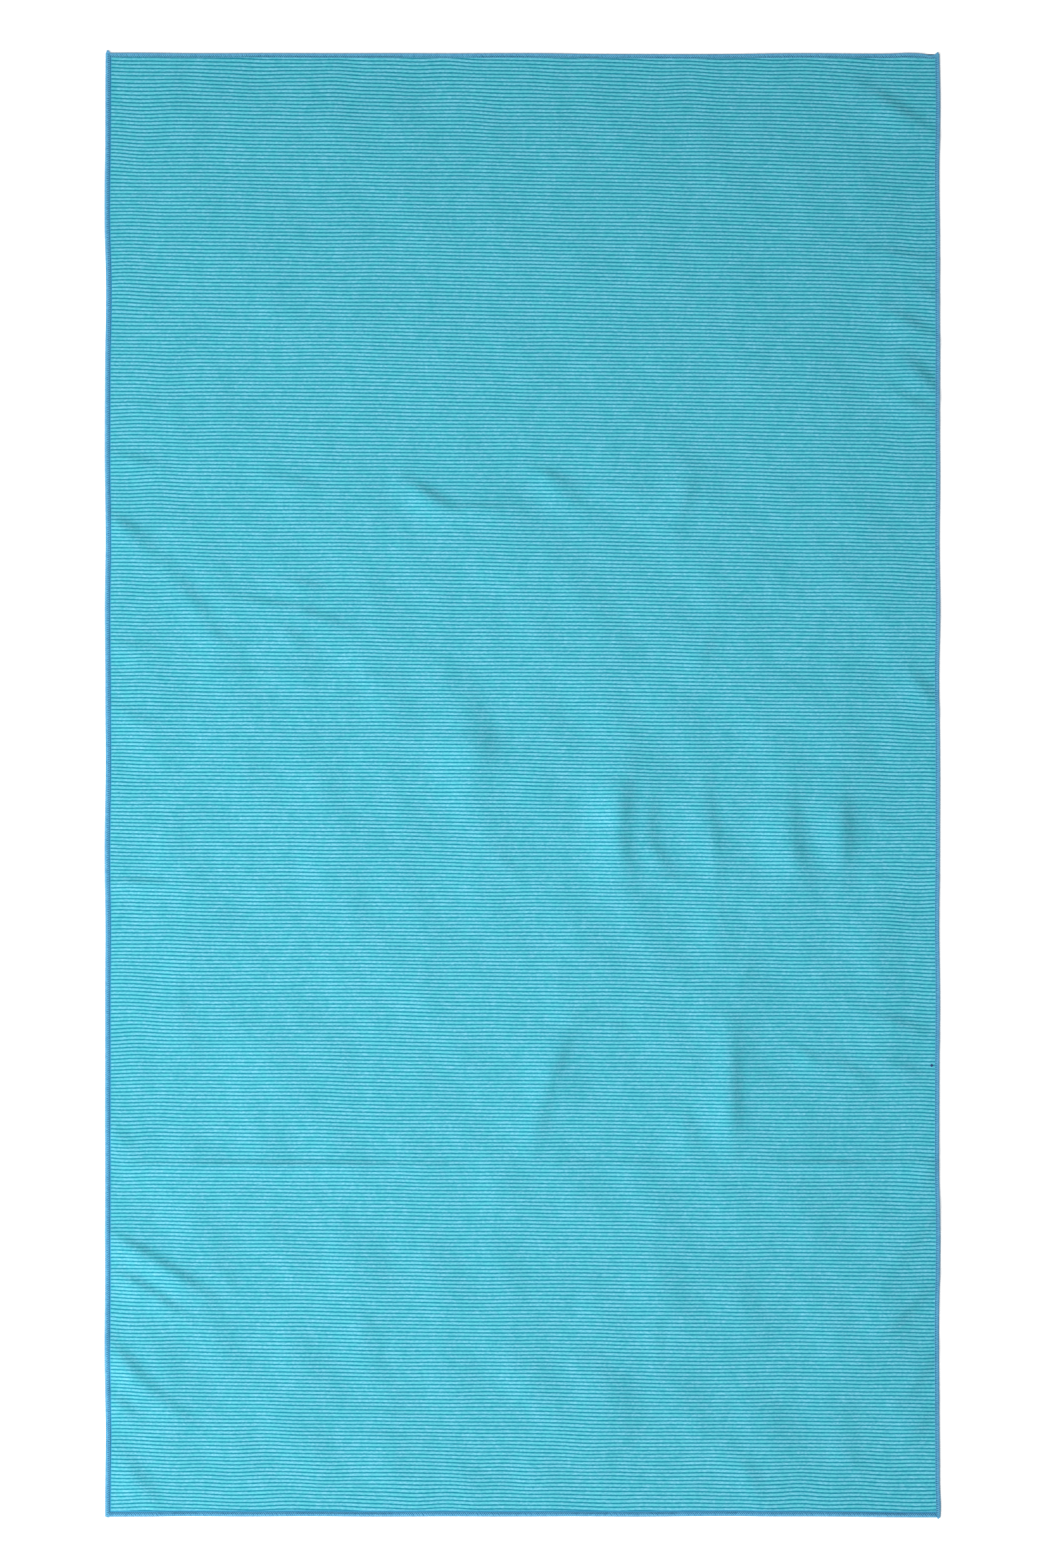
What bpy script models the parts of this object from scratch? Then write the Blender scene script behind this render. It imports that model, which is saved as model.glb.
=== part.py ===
"""Quick dry towel: one ribbed microfibre cloth, overlocked in thread along each of its four sides.

Metres, +Z up. The towel lies flat and face up on z = 0, with its long sides along Y and its ribs
along X. The origin is the middle of its underside. Left, right, top and bottom are as seen from
above with +Y to the top.

Each overlock is a three-thread seam: a needle thread that lies on the face, an upper looper that
covers the face and turns over the edge, and a lower looper that covers the underside. Here each
thread is one band along its whole side, as wide and thick as its stitches.
"""

import math

import bmesh
import bpy
from mathutils import Euler, Matrix, Vector

# Overall size
TOWEL_WIDTH = 0.800
TOWEL_LENGTH = 1.400

# Cloth
CLOTH_THICKNESS = 0.0013
RIB_PITCH = 0.00352
FURROW_WIDTH = 0.0011
FURROW_DEPTH = 0.00025

# Overlock seams
SEAM_RISE = 0.0001  # how far the loopers stand above the cloth's face
STITCH_WIDTH = 0.0040  # from the towel's edge to the loopers' inner ends
LOOPER_THICKNESS = 0.00025
NEEDLE_THREAD_DIAMETER = 0.0004
THREAD_CLEARANCE = 0.0001  # between a thread and whatever it lies against
EDGE_ARC_STEPS = 6
NEEDLE_THREAD_ROUNDING = 1

# Tails: the chained-off thread ends left where a long seam runs off the cloth
TAIL_WIDTH_SHARE = 0.9  # of the stitch width
TAIL_TIP_SHARE = 0.28  # of the tail's own width
TAIL_FLATNESS = 0.30  # thickness over width
TAIL_SIDES = 12
TOP_LEFT_TAIL_LENGTH = 0.0026
TOP_RIGHT_TAIL_LENGTH = 0.0016
BOTTOM_RIGHT_TAIL_LENGTH = 0.0013

# Tack: the small dark knot of thread just inside the right seam
TACK_WIDTH = 0.0033
TACK_CROWN_WIDTH = 0.0018
TACK_HEIGHT = 0.0005
TACK_FROM_RIGHT_EDGE = 0.0078
TACK_BELOW_MIDDLE = 0.268

# Worked out from the sizes above
SEAM_THICKNESS = CLOTH_THICKNESS + SEAM_RISE
EDGE_RADIUS = (SEAM_THICKNESS - THREAD_CLEARANCE) / 2
RIM_BOTTOM = LOOPER_THICKNESS + 2 * THREAD_CLEARANCE
RIM_TOP = SEAM_THICKNESS - RIM_BOTTOM
RIM_REACH = EDGE_RADIUS - LOOPER_THICKNESS - THREAD_CLEARANCE
RIM_CORNER_RISE = EDGE_RADIUS - RIM_BOTTOM
RIM_INSET = EDGE_RADIUS - math.sqrt(RIM_REACH**2 - RIM_CORNER_RISE**2)
NEEDLE_RADIUS = NEEDLE_THREAD_DIAMETER / 2
NEEDLE_LINE = STITCH_WIDTH + THREAD_CLEARANCE + NEEDLE_RADIUS
NEEDLE_HEIGHT = RIM_TOP + THREAD_CLEARANCE + NEEDLE_RADIUS
SEAM_WIDTH = NEEDLE_LINE + NEEDLE_RADIUS + THREAD_CLEARANCE
TAIL_WIDTH = TAIL_WIDTH_SHARE * STITCH_WIDTH
TAIL_TIP_WIDTH = TAIL_TIP_SHARE * TAIL_WIDTH

QUARTER_TURN = math.pi / 2

# Side name: the turn about Z that brings the seam's inward direction from +X, the seam's length,
# and the distance of that edge from the origin.
SHORT_SEAM_LENGTH = TOWEL_WIDTH - 2 * SEAM_WIDTH
SIDES = {
    "left": (0.0, TOWEL_LENGTH, TOWEL_WIDTH / 2),
    "right": (math.pi, TOWEL_LENGTH, TOWEL_WIDTH / 2),
    "bottom": (QUARTER_TURN, SHORT_SEAM_LENGTH, TOWEL_LENGTH / 2),
    "top": (-QUARTER_TURN, SHORT_SEAM_LENGTH, TOWEL_LENGTH / 2),
}

# Tail name: which side in X, which end in Y, and its length.
TAILS = {
    "top_left": (-1, 1, TOP_LEFT_TAIL_LENGTH),
    "top_right": (1, 1, TOP_RIGHT_TAIL_LENGTH),
    "bottom_right": (1, -1, BOTTOM_RIGHT_TAIL_LENGTH),
}

CLOTH_COLOUR = (0.102, 0.515, 0.645)
LOOPER_COLOUR = (0.095, 0.360, 0.610)
NEEDLE_COLOUR = (0.180, 0.480, 0.680)
TAIL_COLOUR = (0.070, 0.290, 0.520)
TACK_COLOUR = (0.017, 0.038, 0.141)
CLOTH_ROUGHNESS = 0.95
THREAD_ROUGHNESS = 0.75


def clear_scene():
    for obj in list(bpy.data.objects):
        bpy.data.objects.remove(obj, do_unlink=True)


def make_collection(name):
    collection = bpy.data.collections.new(name)
    bpy.context.scene.collection.children.link(collection)
    return collection


def make_material(name, colour, roughness):
    material = bpy.data.materials.new(name)
    material.use_nodes = True
    shader = material.node_tree.nodes["Principled BSDF"]
    shader.inputs["Base Color"].default_value = (*colour, 1.0)
    shader.inputs["Roughness"].default_value = roughness
    shader.inputs["Metallic"].default_value = 0.0
    return material


def add_object(name, data, collection, material):
    data.materials.append(material)
    obj = bpy.data.objects.new(name, data)
    collection.objects.link(obj)
    return obj


def outline_curve(name, points, length):
    """A closed outline in the curve's own XY plane, extruded to this length about that plane."""
    curve = bpy.data.curves.new(name, "CURVE")
    curve.dimensions = "2D"
    curve.fill_mode = "BOTH"
    curve.extrude = length / 2
    spline = curve.splines.new("POLY")
    spline.points.add(len(points) - 1)
    for point, (x, y) in zip(spline.points, points):
        point.co = (x, y, 0.0, 1.0)
    spline.use_cyclic_u = True
    return curve


def mesh_from_curve(obj):
    """Replaces a curve object by a mesh object with its caps welded on."""
    graph = bpy.context.evaluated_depsgraph_get()
    mesh = bpy.data.meshes.new_from_object(obj.evaluated_get(graph))
    shape = bmesh.new()
    shape.from_mesh(mesh)
    bmesh.ops.remove_doubles(shape, verts=shape.verts, dist=1e-7)
    shape.to_mesh(mesh)
    shape.free()
    name = obj.name
    collection = obj.users_collection[0]
    made = bpy.data.objects.new(name, mesh)
    made.matrix_world = obj.matrix_world.copy()
    bpy.data.objects.remove(obj, do_unlink=True)
    made.name = name
    collection.objects.link(made)
    return made


# ---------------------------------------------------------------- cloth


def ribbed_outline(length):
    """The cloth's section along its length: flat below, ribs parted by V furrows above."""
    ribs = round(length / RIB_PITCH)
    pitch = length / ribs
    points = [(-length / 2, CLOTH_THICKNESS), (-length / 2, 0.0)]
    points += [(length / 2, 0.0), (length / 2, CLOTH_THICKNESS)]
    for furrow in range(ribs - 1, 0, -1):
        middle = furrow * pitch - length / 2
        points.append((middle + FURROW_WIDTH / 2, CLOTH_THICKNESS))
        points.append((middle, CLOTH_THICKNESS - FURROW_DEPTH))
        points.append((middle - FURROW_WIDTH / 2, CLOTH_THICKNESS))
    return points


def make_rim(collection, material):
    """The sheet squeezed thin by the stitches, which reaches out under the four seams."""
    mesh = bpy.data.meshes.new("squeezed_rim")
    shape = bmesh.new()
    bmesh.ops.create_cube(shape, size=1.0)
    size = (TOWEL_WIDTH - 2 * RIM_INSET, TOWEL_LENGTH - 2 * RIM_INSET, RIM_TOP - RIM_BOTTOM)
    bmesh.ops.scale(shape, vec=size, verts=shape.verts)
    shape.to_mesh(mesh)
    shape.free()
    rim = add_object("squeezed_rim", mesh, collection, material)
    rim.location = (0.0, 0.0, SEAM_THICKNESS / 2)
    rim.hide_render = True
    rim.display_type = "WIRE"
    return rim


def make_cloth(parts, helpers):
    material = make_material("ribbed_microfibre", CLOTH_COLOUR, CLOTH_ROUGHNESS)
    outline = ribbed_outline(TOWEL_LENGTH - 2 * SEAM_WIDTH)
    curve = outline_curve("cloth_panel", outline, TOWEL_WIDTH - 2 * SEAM_WIDTH)
    cloth = add_object("cloth_panel", curve, parts, material)
    cloth.rotation_euler = Euler((QUARTER_TURN, 0.0, QUARTER_TURN))
    bpy.context.view_layer.update()
    cloth = mesh_from_curve(cloth)
    join = cloth.modifiers.new("rim", "BOOLEAN")
    join.operation = "UNION"
    join.object = make_rim(helpers, material)
    return cloth


# ---------------------------------------------------------------- seams


def edge_arc(radius, centre, start, turn):
    """Points of a quarter circle about centre, from the start angle through one quarter turn."""
    steps = range(EDGE_ARC_STEPS + 1)
    angles = [start + turn * QUARTER_TURN * step / EDGE_ARC_STEPS for step in steps]
    return [(centre[0] + radius * math.cos(a), centre[1] + radius * math.sin(a)) for a in angles]


def lower_looper_section():
    """Section of the lower looper: flat under the rim, then up round half of the towel's edge.

    The first coordinate runs inwards from the towel's edge and the second one up.
    """
    centre = (EDGE_RADIUS, EDGE_RADIUS)
    outer = edge_arc(EDGE_RADIUS, centre, math.pi, 1)
    inner = edge_arc(EDGE_RADIUS - LOOPER_THICKNESS, centre, 1.5 * math.pi, -1)
    inner_end = [(STITCH_WIDTH, 0.0), (STITCH_WIDTH, LOOPER_THICKNESS)]
    return outer + inner_end + inner


def upper_looper_section():
    """The lower looper's section turned over, so that the two meet halfway up the edge."""
    return [(inward, SEAM_THICKNESS - up) for inward, up in reversed(lower_looper_section())]


def place_on_side(obj, side, height=0.0):
    """Turns and moves a piece drawn inwards from the origin to the middle of its side."""
    turn, _, reach = SIDES[side]
    obj.rotation_euler = Euler((QUARTER_TURN, 0.0, turn))
    obj.location = Matrix.Rotation(turn, 3, "Z") @ Vector((-reach, 0.0, 0.0))
    obj.location.z = height


def make_looper(side, level, section, parts, material):
    length = SIDES[side][1]
    name = f"{side}_{level}_looper_thread"
    looper = add_object(name, outline_curve(name, section, length), parts, material)
    place_on_side(looper, side)


def make_needle_thread(side, parts, material):
    length = SIDES[side][1]
    name = f"{side}_needle_thread"
    curve = bpy.data.curves.new(name, "CURVE")
    curve.dimensions = "3D"
    curve.bevel_depth = NEEDLE_RADIUS
    curve.bevel_resolution = NEEDLE_THREAD_ROUNDING
    curve.use_fill_caps = True
    spline = curve.splines.new("POLY")
    spline.points.add(1)
    for point, along in zip(spline.points, (-length / 2, length / 2)):
        point.co = (NEEDLE_LINE, NEEDLE_HEIGHT, along, 1.0)
    place_on_side(add_object(name, curve, parts, material), side)


def make_seams(parts):
    looper_material = make_material("looper_thread", LOOPER_COLOUR, THREAD_ROUGHNESS)
    needle_material = make_material("needle_thread", NEEDLE_COLOUR, THREAD_ROUGHNESS)
    for side in SIDES:
        make_looper(side, "upper", upper_looper_section(), parts, looper_material)
        make_looper(side, "lower", lower_looper_section(), parts, looper_material)
        make_needle_thread(side, parts, needle_material)


# ---------------------------------------------------------------- tails and tack


def cone_mesh(name, sides, width, tip_width, height):
    mesh = bpy.data.meshes.new(name)
    shape = bmesh.new()
    bmesh.ops.create_cone(
        shape, cap_ends=True, segments=sides, radius1=width / 2, radius2=tip_width / 2, depth=height
    )
    shape.to_mesh(mesh)
    shape.free()
    return mesh


def make_tails(parts):
    material = make_material("thread_tail", TAIL_COLOUR, THREAD_ROUGHNESS)
    for corner, (side, end, length) in TAILS.items():
        name = f"{corner}_thread_tail"
        mesh = cone_mesh(name, TAIL_SIDES, TAIL_WIDTH, TAIL_TIP_WIDTH, length)
        mesh.transform(Matrix.Diagonal((1.0, TAIL_FLATNESS, 1.0, 1.0)))
        tail = add_object(name, mesh, parts, material)
        tail.rotation_euler = Euler((-end * QUARTER_TURN, 0.0, 0.0))
        tail.location.x = side * (TOWEL_WIDTH / 2 - STITCH_WIDTH / 2)
        tail.location.y = end * (TOWEL_LENGTH / 2 + THREAD_CLEARANCE + length / 2)
        tail.location.z = SEAM_THICKNESS / 2


def make_tack(parts):
    material = make_material("tack_thread", TACK_COLOUR, THREAD_ROUGHNESS)
    name = "right_edge_thread_tack"
    mesh = cone_mesh(name, 4, TACK_WIDTH, TACK_CROWN_WIDTH, TACK_HEIGHT)
    tack = add_object(name, mesh, parts, material)
    tack.location.x = TOWEL_WIDTH / 2 - TACK_FROM_RIGHT_EDGE
    tack.location.y = -TACK_BELOW_MIDDLE
    tack.location.z = CLOTH_THICKNESS + THREAD_CLEARANCE + TACK_HEIGHT / 2


def main():
    clear_scene()
    parts = make_collection("quick_dry_towel")
    helpers = make_collection("helpers")
    make_cloth(parts, helpers)
    make_seams(parts)
    make_tails(parts)
    make_tack(parts)


main()
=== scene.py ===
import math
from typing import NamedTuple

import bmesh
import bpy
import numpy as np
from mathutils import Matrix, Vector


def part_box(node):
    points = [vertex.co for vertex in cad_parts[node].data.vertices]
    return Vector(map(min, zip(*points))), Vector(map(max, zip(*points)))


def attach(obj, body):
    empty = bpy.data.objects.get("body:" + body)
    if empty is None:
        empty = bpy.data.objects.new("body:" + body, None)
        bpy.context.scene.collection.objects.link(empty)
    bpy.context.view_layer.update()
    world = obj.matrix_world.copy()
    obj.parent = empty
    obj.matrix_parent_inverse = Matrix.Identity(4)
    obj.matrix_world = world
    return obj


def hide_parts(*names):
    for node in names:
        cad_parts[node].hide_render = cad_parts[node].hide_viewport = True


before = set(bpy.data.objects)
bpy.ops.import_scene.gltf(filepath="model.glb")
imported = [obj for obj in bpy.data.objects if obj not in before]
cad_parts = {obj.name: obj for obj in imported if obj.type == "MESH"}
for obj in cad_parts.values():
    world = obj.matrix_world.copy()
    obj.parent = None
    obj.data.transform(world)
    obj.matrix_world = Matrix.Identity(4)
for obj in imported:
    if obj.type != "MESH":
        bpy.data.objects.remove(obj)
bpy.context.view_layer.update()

# Quick dry towel: the looks of one ribbed microfibre cloth, overlocked along its four sides.
#
# Everything is first drawn on the flat towel, in the frame's own coordinates: X across, Y along,
# Z up from the underside. lay() then gives each point its place on the towel as it lies, with its
# creases, puckers and uneven edges. Heights and lengths are in metres, with MM for millimetres.

MM = 0.001
FULL_TURN = 2 * math.pi

# ---------------------------------------------------------------- sizes taken from the frame

LOOPER_LOW, LOOPER_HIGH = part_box("left_upper_looper_thread")
NEEDLE_LOW, NEEDLE_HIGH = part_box("left_needle_thread")
HALF_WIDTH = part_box("right_upper_looper_thread")[1][0]
HALF_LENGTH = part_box("top_upper_looper_thread")[1][1]
STITCH_WIDTH = LOOPER_HIGH[0] - LOOPER_LOW[0]
NEEDLE_LINE = HALF_WIDTH + (NEEDLE_LOW[0] + NEEDLE_HIGH[0]) / 2
BAND_TOP = LOOPER_HIGH[2]
CLOTH_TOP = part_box("cloth_panel")[1][2]

# ---------------------------------------------------------------- sizes chosen here

RIB_PITCH = 3.52 * MM
FURROW_DEPTH = 0.30 * MM
RIB_ROWS = ((0.0, 1.0), (0.13, 0.30), (0.5, 0.0), (0.87, 0.30))  # place in the rib, share of depth
RIBS_BEYOND_EDGE = 8  # drawn past each end, because ribs that bow are cut off straight
CLOTH_COLUMNS = 150

EDGE_ROUNDING = 1.80 * MM  # how far in from the edge the seam is rounded off
CLOTH_EDGE_INSET = 0.60 * MM  # the raw edge lies this far inside the stitches
SQUEEZED_SHARE = 0.42  # thickness under the stitches, as a share of the cloth's own
SEAM_SHADOW_WIDTH = 1.6 * MM  # painted shadow: inside the left and bottom seams the cloth is coloured dark this far past the needle line, as the seams' shade
SQUEEZE_START = 0.8 * MM  # the cloth starts to swell this far outside the needle line, and is
# back at its full thickness twice as far inside it

LONG_STITCH = 1.80 * MM
SHORT_STITCH = 1.85 * MM
YARN_HALF_WIDTH = 0.47 * MM  # where the yarn lies loose over the edge
YARN_PULLED_HALF_WIDTH = 0.25 * MM  # where it is pulled tight, at the needle line
YARN_HALF_HEIGHT = 0.26 * MM
SEAM_FULLNESS = 0.45 * MM  # how much thicker the soft yarn makes the seams than the plain bands
NEEDLE_YARN_RADIUS = 0.21 * MM
NEEDLE_STANDS_PROUD = 0.15 * MM  # of the seam's top, between its dips
NEEDLE_DIP = 0.45 * MM
NEEDLE_DIP_SHARPNESS = 6
HAND_OF_STITCH = 0.10 * MM  # how unevenly the stitches land
LEAN_CURVE = 1.4  # how late a stitch leans, on its way in to the needle line

# Along the way from the needle line (0) to the middle of the edge (1): where the yarn spreads out,
# where it draws in again round the edge, and by what share
YARN_SPREADS = (0.05, 0.55)
YARN_DRAWS_IN = (0.93, 1.0)
DRAWN_IN_SHARE = 0.4

SEAM_TOP = BAND_TOP + SEAM_FULLNESS

# Points for each stitch, and sides of each thread's section
LOWER_POINTS = 8
NEEDLE_POINTS = 6
UPPER_SIDES = 6
LOWER_SIDES = 4
NEEDLE_SIDES = 5

# The chained-off tails
TAIL_FLARES = {"top_left": 2.6 * MM, "top_right": 2.0 * MM, "bottom_right": 0.5 * MM}
TAIL_PASSES = 9
TAIL_POINTS = 8
TAIL_SIDES = 8
TAIL_ROOT_INSET = 1.5 * MM  # the tails start this far inside the towel's edge
TAIL_TIP_HALF_WIDTH = 0.1 * MM
TAIL_TAPER = 0.8
TAIL_ARCH = 0.35 * MM

# The dark tack
TACK_PASSES = 9
TACK_POINTS = 6
TACK_SIDES = 8
TACK_WIDTH_SHARE = 0.85  # of the tack's box, which the yarn's own thickness then fills
TACK_LENGTH_SHARE = 0.8
TACK_TIP_HALF_WIDTH = 0.1 * MM
TACK_FOOT = 0.12 * MM  # height over the cloth at its ends
TACK_ARCH = 0.18 * MM  # and how much more at its middle
TACK_YARN_HALF_WIDTH = 0.24 * MM
TACK_YARN_HALF_HEIGHT = 0.16 * MM

# Creases: from x, y to x, y, then height and half width, all in millimetres. Each is given from
# its north or west end, and its east or north side is the steeper one.
CREASES_ABOVE_MIDDLE = (
    (-248, 296, -180, 279, 0.7, 7),
    (-114, 292, -68, 260, 2.4, 8),
    (-78, 264, -8, 263, 1.4, 7),
    (8, 302, 46, 284, 1.5, 8),
    (26, 288, 60, 258, 1.2, 10),
    (58, 287, 126, 280, 0.6, 6),
    (164, 300, 143, 244, 1.7, 9),
    (-52, 58, -52, 10, 1.6, 15),
    (186, 172, 164, 98, 0.5, 5),
    (-28, -60, -3, -93, 0.7, 6),
)
CREASES_BY_LEFT_EDGE = (
    (-397, 366, -340, 363, 0.4, 5),
    (-397, 317, -345, 302, 1.0, 7),
    (-398, 259, -364, 235, 1.7, 7),
    (-384, 242, -344, 210, 0.9, 8),
    (-342, 210, -298, 148, 1.4, 8),
    (-306, 150, -278, 131, 0.8, 6),
    (-280, 177, -213, 167, 1.1, 7),
    (-222, 169, -168, 148, 1.0, 7),
    (-238, 197, -172, 184, 0.7, 6),
    (-236, 156, -207, 129, 0.8, 6),
    (-398, 134, -356, 129, 1.2, 8),
    (-398, 76, -358, 57, 1.0, 8),
    (-337, -168, -314, -260, 0.7, 6),
    (-397, -322, -374, -354, 1.1, 8),
)
PUCKERS_BELOW_MIDDLE = (
    (-42, 62, -38, 8, 1.4, 13),
    (190, 172, 164, 98, 0.5, 6),
    (96, 16, 88, -52, 3.1, 13),
    (88, -30, 97, -98, 3.1, 13),
    (123, 0, 121, -60, 1.3, 5),
    (121, -48, 140, -90, 1.2, 6),
    (175, 4, 185, -83, 1.5, 8),
    (254, 4, 256, -60, 1.7, 12),
    (254, -40, 266, -92, 1.6, 11),
    (304, 5, 306, -94, 3.0, 11),
    (329, -26, 372, -46, 0.6, 5),
    (186, -62, 188, -168, 0.45, 5),
    (238, -130, 203, -204, 0.6, 5),
)
PUCKERS_ABOVE_LOWER_FOLD = (
    (47, -224, 22, -290, 2.0, 9),
    (25, -276, 9, -350, 1.6, 9),
    (92, -222, 92, -246, 1.0, 8),
    (199, -226, 200, -356, 2.9, 9),
    (148, -298, 166, -360, 1.1, 8),
    (249, -242, 288, -272, 1.3, 7),
    (293, -262, 332, -284, 0.9, 7),
    (323, -216, 396, -243, 1.3, 8),
    (344, -266, 398, -283, 0.9, 8),
)
CREASES_LOWER_LEFT = (
    (-397, -428, -352, -458, 2.5, 8),
    (-364, -448, -304, -490, 2.5, 8),
    (-392, -466, -350, -490, 2.1, 7),
    (-360, -484, -326, -510, 2.0, 7),
    (-398, -530, -360, -578, 3.0, 9),
    (-370, -568, -310, -620, 1.6, 9),
    (-398, -582, -370, -608, 2.0, 8),
    (-390, -632, -352, -692, 1.7, 9),
    (-293, -460, -269, -492, 0.9, 7),
    (-272, -492, -214, -495, 0.6, 5),
    (-160, -514, -142, -516, 0.9, 11),
    (-166, -598, -100, -603, 0.5, 6),
    (-166, -620, -100, -626, 0.5, 6),
)
CREASES_LOWER_RIGHT = (
    (398, -400, 362, -452, 1.2, 8),
    (398, -468, 343, -524, 1.5, 8),
    (398, -538, 360, -592, 1.4, 9),
    (398, -585, 364, -632, 1.1, 9),
    (396, -352, 378, -392, 1.2, 10),
    (126, -500, 127, -552, 0.9, 9),
    (64, -566, 108, -566, 0.5, 8),
    (60, -612, 118, -616, 0.5, 7),
    (199, -630, 233, -692, 1.0, 8),
    (304, -632, 322, -656, 0.7, 6),
)
CREASES_BY_RIGHT_EDGE = (
    (322, 670, 394, 621, 1.8, 9),
    (332, 511, 398, 499, 0.9, 7),
    (372, 483, 398, 462, 1.0, 7),
    (343, 456, 397, 425, 1.3, 8),
    (364, 412, 398, 371, 2.0, 8),
    (348, 380, 397, 350, 1.2, 8),
    (366, 112, 398, 71, 1.7, 8),
)
BROAD_SWELLS = (
    (100, 30, 100, -110, 1.3, 26),
    (302, 12, 304, -98, 1.0, 26),
    (262, 6, 266, -100, 0.8, 22),
    (206, -212, 208, -372, 1.7, 34),
    (44, -212, 12, -360, 1.1, 26),
    (-372, -520, -300, -640, 1.4, 26),
    (-366, -430, -290, -510, 1.2, 24),
    (-66, 268, 20, 262, 1.0, 20),
    (-46, 70, -36, -6, 1.0, 26),
    (130, 120, 120, 20, 0.8, 34),
    (-150, 20, -130, -90, 0.7, 40),
    (350, -400, 330, -560, 1.0, 30),
)
PACKING_FOLDS = (
    (-376, -363, -64, -364, 1.6, 4.5),
    (-20, -363, 150, -363, 0.6, 4.5),
    (215, -363, 394, -362, 1.5, 4.5),
    (108, -90, 180, -90, 0.6, 4.5),
    (314, -88, 396, -88, 1.0, 4.5),
    (-398, -94, -332, -95, 1.4, 5),
    (-332, -93, -188, -92, 0.4, 4.5),
    (-304, 108, -184, 108, 0.6, 4.5),
    (-190, 105, -96, 104, 0.4, 4.5),
)
CREASES = (
    CREASES_ABOVE_MIDDLE + CREASES_BY_LEFT_EDGE + PUCKERS_BELOW_MIDDLE + PUCKERS_ABOVE_LOWER_FOLD
    + CREASES_LOWER_LEFT + CREASES_LOWER_RIGHT + CREASES_BY_RIGHT_EDGE + BROAD_SWELLS
    + PACKING_FOLDS
)
CREASE_HEIGHT_SHARE = 1.45  # of the heights in the lists
STEEP_SIDE_SHARE = 0.8  # of the half width
GENTLE_SIDE_SHARE = 1.9
CREASE_END = 0.12  # a crease fades no lower than it is at this share of its length

AIR_UNDER_CLOTH = 0.6 * MM  # how far the cloth stands off the floor on average
AIR_UNDER_EDGE = 0.1 * MM
EDGE_LIFT_REACH = 70 * MM
BILLOW_HEIGHT = 0.75 * MM
BILLOW_LENGTHS = (45 * MM, 240 * MM)
BILLOW_SHARE_ABOVE = 0.35  # the upper end of the towel lies flatter
BILLOW_CALMING = (150 * MM, 380 * MM)
BILLOW_AT_EDGE = 0.3
NARROWING = 0.0018  # the share of its width by which the towel lies narrower
EDGE_DRIFT = 0.32 * MM
EDGE_DRIFT_LENGTHS = (90 * MM, 320 * MM)
# Where the corners are pulled out of line: at x, y, by x, y, and how far it reaches, in millimetres
CORNER_PULLS = (
    (391, 700, 0.0, -1.3, 5),
    (370, 700, 0.0, 0.7, 14),
    (400, -690, 1.0, 0.0, 14),
)

# The ribs' own unevenness: their slope and bow across the towel, at its middle and growing with
# the distance up from there and its square, and how they crowd along it
RIB_SLANT = (3.8 * MM, 2.2 * MM, 2.9 * MM)
RIB_BOW = (0.6 * MM, 1.7 * MM)
RIB_CROWDING = 6.4 * MM
CROWDING_TILT = 0.5
RIB_WAVE_HEIGHT = 0.12 * MM
RIB_WAVE_LENGTHS = (40 * MM, 130 * MM)
RIB_WAVE_AT_EDGE = 0.34 * MM  # more, where the seams pull on the ribs
SEAM_PULL_REACH = 110 * MM
SETTLING_PASSES = 4  # to find the Y of a rib whose drop depends on Y

# Random draws: how many waves make a ripple, and the seed of each run of draws
RIPPLE_WAVES = 16
BILLOW_SEED = 11
DRIFT_SEEDS = (21, 22)
RIB_WAVE_SEED = 31
STITCH_PLACE_SEED = 100
STITCH_REACH_SEED = 200
NEEDLE_SEED = 300
LOWER_LOOPER_SEED = 10  # added to its side's own seed

# Colours, as linear light
RIB_COLOUR = (0.049, 0.320, 0.408)
FIBRE_COLOUR = (0.130, 0.425, 0.535)
GREEN_FIBRE_COLOUR = (0.073, 0.405, 0.460)
FURROW_COLOUR = (0.001, 0.146, 0.208)
# painted shade: the dark blue given to the cloth between the stitches and to the painted shadow inside
# the left and bottom seams
SEAM_SHADE_COLOUR = (0.028, 0.205, 0.365)
LOOPER_COLOUR = (0.100, 0.330, 0.500)
LOOPER_SHADE_COLOUR = (0.036, 0.190, 0.355)
NEEDLE_COLOUR = (0.095, 0.320, 0.480)
NEEDLE_SHADE_COLOUR = (0.040, 0.200, 0.345)
TAIL_COLOUR = (0.095, 0.305, 0.500)
TAIL_SHADE_COLOUR = (0.032, 0.160, 0.320)
TACK_COLOUR = (0.017, 0.038, 0.141)
TACK_SHADE_COLOUR = (0.008, 0.016, 0.060)
PAPER_COLOUR = (0.93, 0.93, 0.93)
PAPER_GRAIN_COLOUR = (0.95, 0.95, 0.95)
PAPER_GLOW = 0.2
WHITE = (1.0, 1.0, 1.0, 1.0)

TILE_RIBS = 16  # the cloth's pattern repeats after this many ribs
TILE_WIDTH = TILE_RIBS * RIB_PITCH
TWISTS_PER_TILE = 90.0  # of a thread, along one tile width of it
TILE_MAP = "OFBake"  # the name of every piece's UV map


# ---------------------------------------------------------------- how the towel lies


def smooth_step(value, start, end):
    share = np.clip((value - start) / (end - start), 0.0, 1.0)
    return share * share * (3.0 - 2.0 * share)


def ripple(x, y, seed, lengths):
    """Soft uneven waves with an rms of 1, between the two wavelengths."""
    random = np.random.default_rng(seed)
    total = np.zeros_like(x)
    for _ in range(RIPPLE_WAVES):
        heading = random.uniform(0.0, math.pi)
        length = random.uniform(*lengths)
        phase = random.uniform(0.0, FULL_TURN)
        distance = x * math.cos(heading) + y * math.sin(heading)
        total += np.sin(FULL_TURN * distance / length + phase)
    return total / math.sqrt(RIPPLE_WAVES / 2)


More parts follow.
